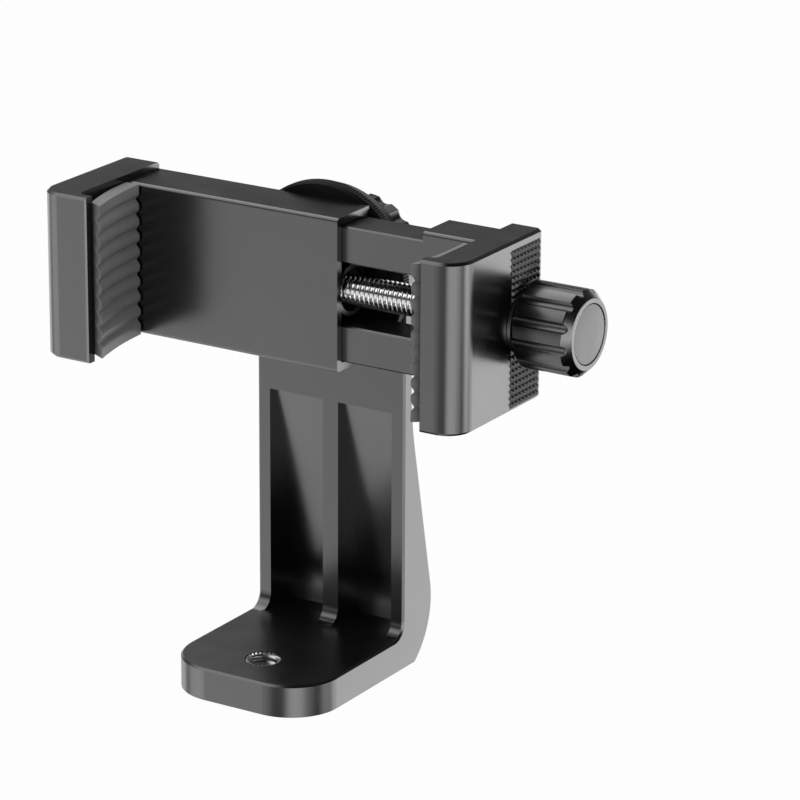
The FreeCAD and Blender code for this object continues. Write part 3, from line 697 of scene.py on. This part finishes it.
def make_tripod_insert():
    """Threaded insert: serrated collar outside, quarter inch thread of twenty to the inch inside."""
    low, high = low_high("tripod_insert")
    height = high.z - low.z
    pitch = 25.4 / 20
    bore = 2.55
    outer = (high.x - low.x) / 2
    depth = 0.42
    lead_in = 0.45
    teeth = 24
    inner = [(height - 0.35, bore + 0.62)]
    inner += [(along, bore) for along in reversed(thread_rows(lead_in, height - lead_in, pitch, 12))]
    inner += [(0.0, bore + lead_in)]
    rows = [
        (0, outer - 0.15), (0.15, outer), (height - 0.5, outer), (height - 0.15, outer - 0.12),
        (height, outer - 0.35), (height, bore + 0.75),
    ] + inner

    def shape(angle, along, radius):
        if radius == bore:
            phase = (along / pitch - angle / TAU) % 1.0
            wave = min(max((abs(2 * phase - 1) - 0.1) / 0.8, 0), 1)
            return along, bore + depth * (1 - wave)
        if radius > outer - 0.4 and along > height - 0.6:
            notch = (0.5 - 0.5 * math.cos(angle * teeth)) ** 1.5
            drop = 0.22 * notch if along > height - 0.2 else 0
            return along - drop, radius - 0.2 * notch
        return along, radius

    form = lathe(rows, 192, "Z", (0, 0, low.z), closed=True, shape=shape)
    piece("threaded_insert", "bracket", nickel, form, ["tripod_insert"], smooth=40)


def make_studs():
    """Grip on the moving jaw's outer face: rows of small blunt pyramids on a matte sheet of painted shade."""
    pitch = 1.24
    columns = 8
    rows = 24
    half_base = 0.48
    half_top = 0.11
    height = 0.50
    shade_sheet_face = jaw_high.x + 0.02
    shade_sheet_thickness = 0.05
    back_margin = 1.2
    middle_y = jaw_high.y - back_margin - pitch * columns / 2
    middle_z = head_z - 0.45
    square = [(-1, -1), (1, -1), (1, 1), (-1, 1)]
    points = []
    faces = []
    for column in range(columns):
        for row in range(rows):
            y = middle_y + (column - (columns - 1) / 2) * pitch
            z = middle_z + (row - (rows - 1) / 2) * pitch
            first = len(points)
            for half, x in ((half_base, shade_sheet_face - 0.01), (half_top, shade_sheet_face + height)):
                points += [(x, y + half * right, z + half * up) for right, up in square]
            faces.append((first + 3, first + 2, first + 1, first))
            faces.append((first + 4, first + 5, first + 6, first + 7))
            for corner in range(4):
                after = (corner + 1) % 4
                faces.append((first + corner, first + after, first + 4 + after, first + 4 + corner))
    piece("grip_studs", "arm", grip_plastic, (points, faces), smooth=20)
    # Painted shade: a thin matte black sheet under the studs, which keeps the gaps between them dark.
    across = pitch * columns / 2
    rise = pitch * rows / 2
    plate = [
        (x, middle_y + right * across, middle_z + up * rise)
        for x in (shade_sheet_face - shade_sheet_thickness, shade_sheet_face) for right, up in square
    ]
    sides = [(3, 2, 1, 0), (4, 5, 6, 7), (0, 1, 5, 4), (1, 2, 6, 5), (2, 3, 7, 6), (3, 0, 4, 7)]
    piece("grip_shade_sheet", "arm", matte_disc_and_shade_sheet, (plate, sides), smooth=20)


def make_pad(node, body, hand, lean, lip_gap_front):
    """Soft pad: rounded ridges stacked up its face, swept back along a gentle bow.

    hand is 1 for the fixed jaw and -1 for the moving one. lean is how far the face falls away from front to
    back. lip_gap_front is how far the side towards the jaw starts behind the face's front edge.
    """
    low, high = low_high(node)
    face = high.x if hand > 0 else low.x
    front = low.y
    back = high.y
    half = (high.z - low.z) / 2
    waves = 10
    pitch = 2 * half / waves
    deep = 0.72
    valley_sharpness = 2.2
    thick = 2.9
    bow = 60.0
    chord = math.hypot(lean, back - front)
    per_wave = 12
    heights = []
    for wave in range(waves):
        for step in range(per_wave):
            heights.append(-half + pitch * (wave + step / per_wave))
    heights.append(half)
    near_edge = [0, 0.003, 0.008, 0.02, 0.04]
    stations = near_edge + [0.08 + 0.84 * n / 18 for n in range(19)] + [0.96, 0.98, 0.992, 0.997, 1.0]

    def bowed(share):
        """How far the face lies behind its front edge, at a share of the way back."""
        across = chord * (share - 0.5)
        sag = math.sqrt(bow ** 2 - across ** 2) - math.sqrt(bow ** 2 - (chord / 2) ** 2)
        return lean * share + sag

    def valley(z):
        phase = ((z + half) / pitch) % 1.0
        inside = 0.5 * pitch < z + half < 2 * half - 0.5 * pitch
        return deep * (0.5 + 0.5 * math.cos(TAU * phase)) ** valley_sharpness if inside else 0.0

    points = []
    width = len(heights)
    edge_round = 0.12
    deepest = thick * 0.6
    for share in stations:
        ease = 0.0
        away = min(share, 1 - share) * (back - front)
        if away < edge_round:
            ease = edge_round - math.sqrt(edge_round ** 2 - (edge_round - away) ** 2)
        for z in heights:
            y = front + (back - front) * share
            depth = bowed(share) + min(valley(z) + ease, deepest)
            points.append((face - hand * depth, y, head_z + z))
        for z in heights:
            y = front + lip_gap_front * (1 - share) + (back - front) * share
            points.append((face - hand * (bowed(share) + thick), y, head_z + z))
    faces = []

    def quad(a, b, c, d):
        faces.append((a, b, c, d) if hand > 0 else (d, c, b, a))

    stride = 2 * width
    last = len(stations) - 1
    for station in range(last):
        here = station * stride
        ahead = here + stride
        for n in range(width - 1):
            quad(here + n, ahead + n, ahead + n + 1, here + n + 1)
            quad(here + width + n, here + width + n + 1, ahead + width + n + 1, ahead + width + n)
        quad(here, here + width, ahead + width, ahead)
        top = width - 1
        quad(here + top, ahead + top, ahead + width + top, here + width + top)
    for n in range(width - 1):
        quad(n, n + 1, width + n + 1, width + n)
        end = last * stride
        quad(end + n, end + width + n, end + width + n + 1, end + n + 1)
    piece(node + "_ribbed", body, rubber, (points, faces), [node], smooth=50)


def dress_nodes():
    """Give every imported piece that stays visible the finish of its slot."""
    slots = {entry["node"]: entry["material_slot"] for entry in frame["record"]["subparts"]}
    for node, thing in frame["nodes"].items():
        material = FINISHES[slots[node]]
        thing.data.materials.clear()
        thing.data.materials.append(material)


make_camera()
make_world(0.8)
make_floor(0.98)
make_lamp("key", (-0.35, -0.45, 0.82), 0.8, 0.6, 0.6, 0.7)
dress_nodes()
make_clamp_screw()
make_knob()
make_cap()
make_disc()
make_rear_knob()
make_bolt_and_nut()
make_tripod_insert()
make_studs()
make_pad("fixed_pad", "head", 1, 2.6, 1.5)
make_pad("moving_pad", "arm", -1, 1.0, 2.1)

scene.view_settings.view_transform = "Standard"
